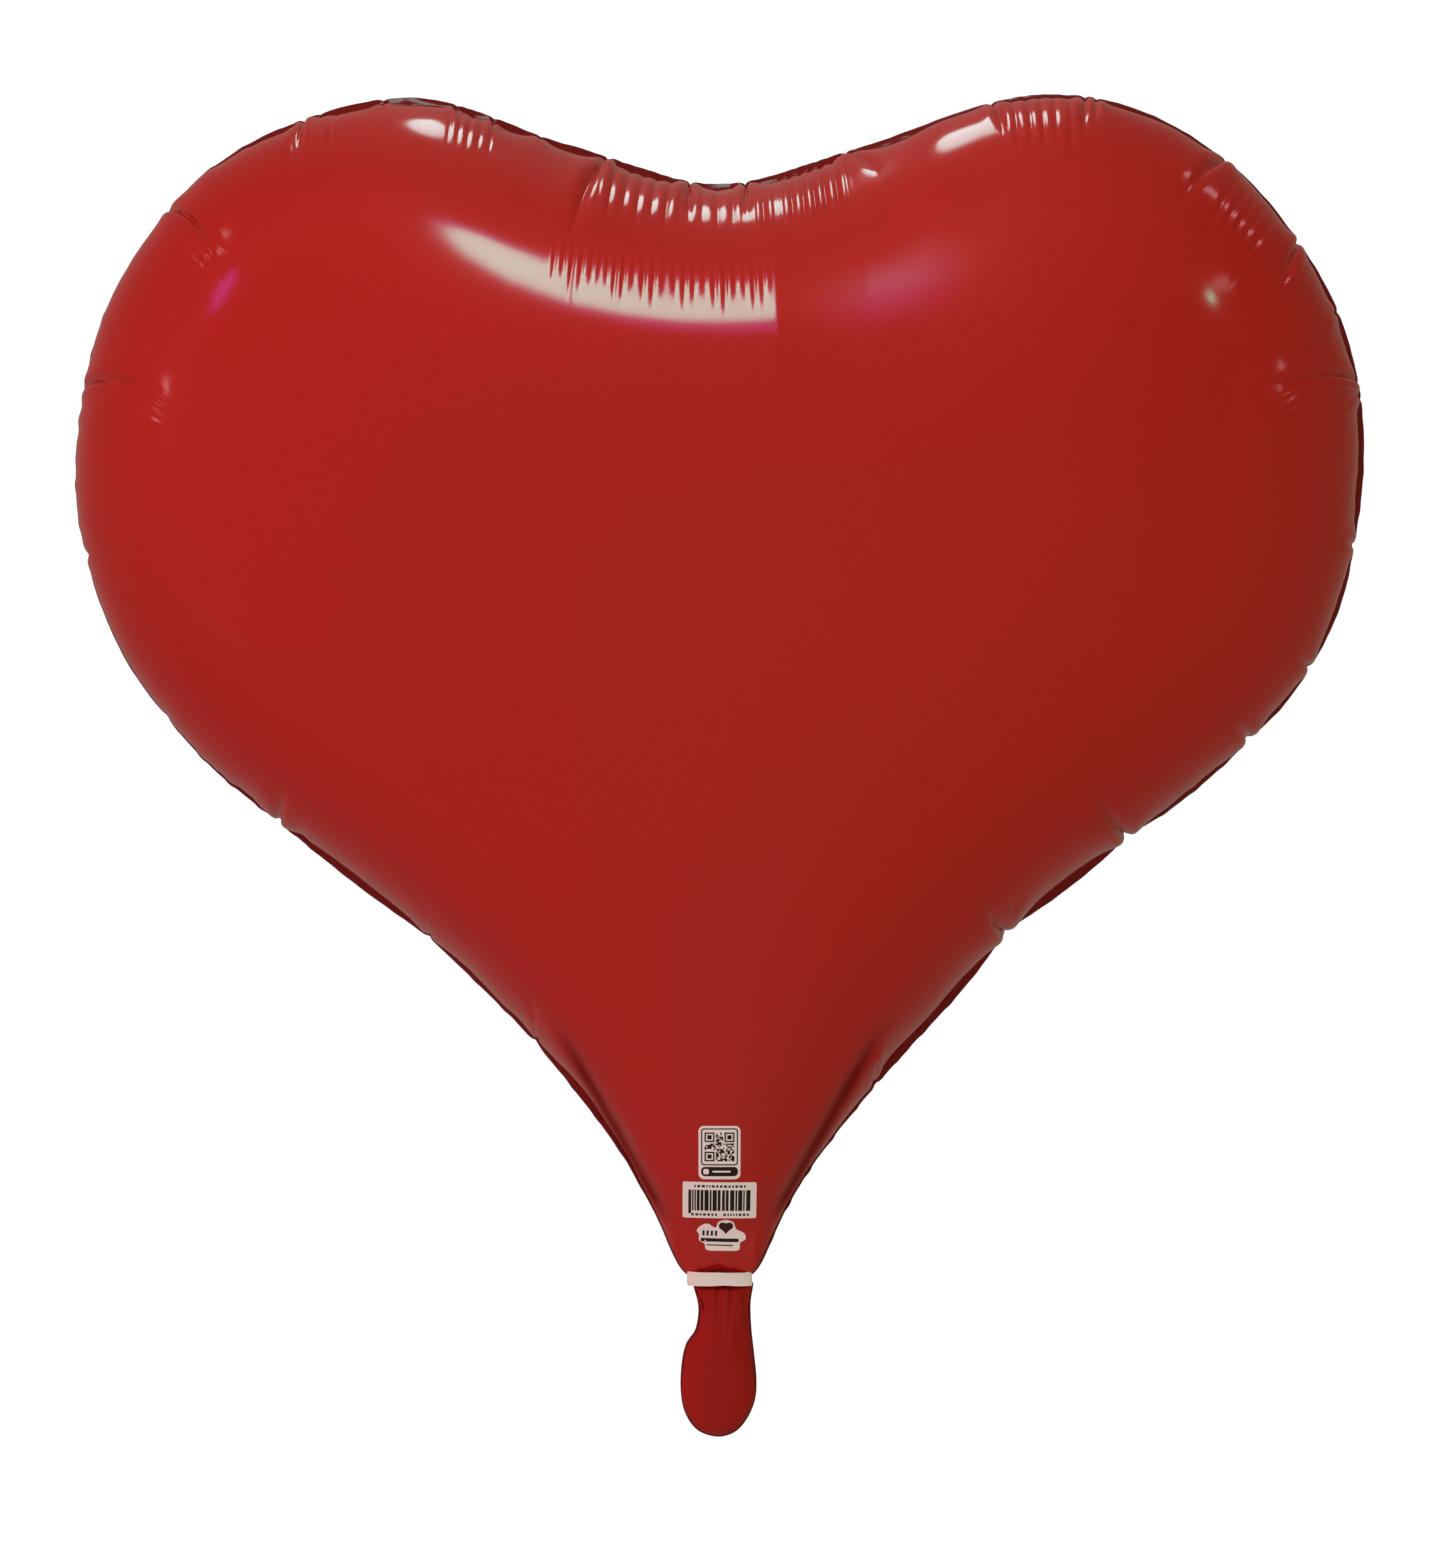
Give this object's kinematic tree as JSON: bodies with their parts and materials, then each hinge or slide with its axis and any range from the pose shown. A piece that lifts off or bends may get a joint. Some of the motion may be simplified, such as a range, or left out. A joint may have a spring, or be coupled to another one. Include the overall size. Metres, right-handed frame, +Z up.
{
  "type": "foil balloon",
  "caption": "Inflated heart-shaped foil balloon with puckered sealed rim, self-closing film valve, neck tied with ribbon and a foldable filling tail.",
  "frame": {"origin": "middle of the neck, where the ribbon is tied", "axes": "+Z up from the tie to the lobes, -Y towards the front panel with the printed labels, +X to the viewer's right"},
  "size_m": [0.5252, 0.216, 0.5475],
  "materials": {
    "foil_red": "satin metallic foil",
    "valve_film": "translucent film",
    "ribbon_white": "satin ribbed ribbon",
    "label_print": "printed white ink"
  },
  "bodies": {
    "balloon": {"front_foil_panel": "foil_red", "rear_foil_panel": "foil_red", "matrix_code_sticker": "label_print", "bar_code_sticker": "label_print", "maker_sticker": "label_print", "neck_ribbon_turn_1": "ribbon_white", "neck_ribbon_turn_2": "ribbon_white", "ribbon_knot": "ribbon_white", "ribbon_end_left": "ribbon_white", "ribbon_end_right": "ribbon_white"},
    "tail": {"tail_front_layer": "foil_red", "tail_rear_layer": "foil_red", "sleeve_front_film": "valve_film", "sleeve_rear_film": "valve_film"},
    "valve_front_lip": {"valve_front_film": "valve_film"},
    "valve_rear_lip": {"valve_rear_film": "valve_film"}
  },
  "joints": [
    {"name": "tail_fold", "type": "hinge", "parent": "balloon", "child": "tail", "pos_m": [0, 0, -0.006], "axis": [1, 0, 0], "range_deg": [-90, 90]},
    {"name": "valve_front_opens", "type": "hinge", "parent": "balloon", "child": "valve_front_lip", "pos_m": [0, -0.0003, 0.006], "axis": [1, 0, 0], "range_deg": [0, 3], "stiffness_Nm_per_rad": 0.001},
    {"name": "valve_rear_opens", "type": "hinge", "parent": "balloon", "child": "valve_rear_lip", "pos_m": [0, 0.0003, 0.006], "axis": [1, 0, 0], "range_deg": [-3, 0], "stiffness_Nm_per_rad": 0.001}
  ],
  "couplings": [
    {"joint": "valve_rear_opens", "follows": "valve_front_opens", "ratio": -1}
  ]
}
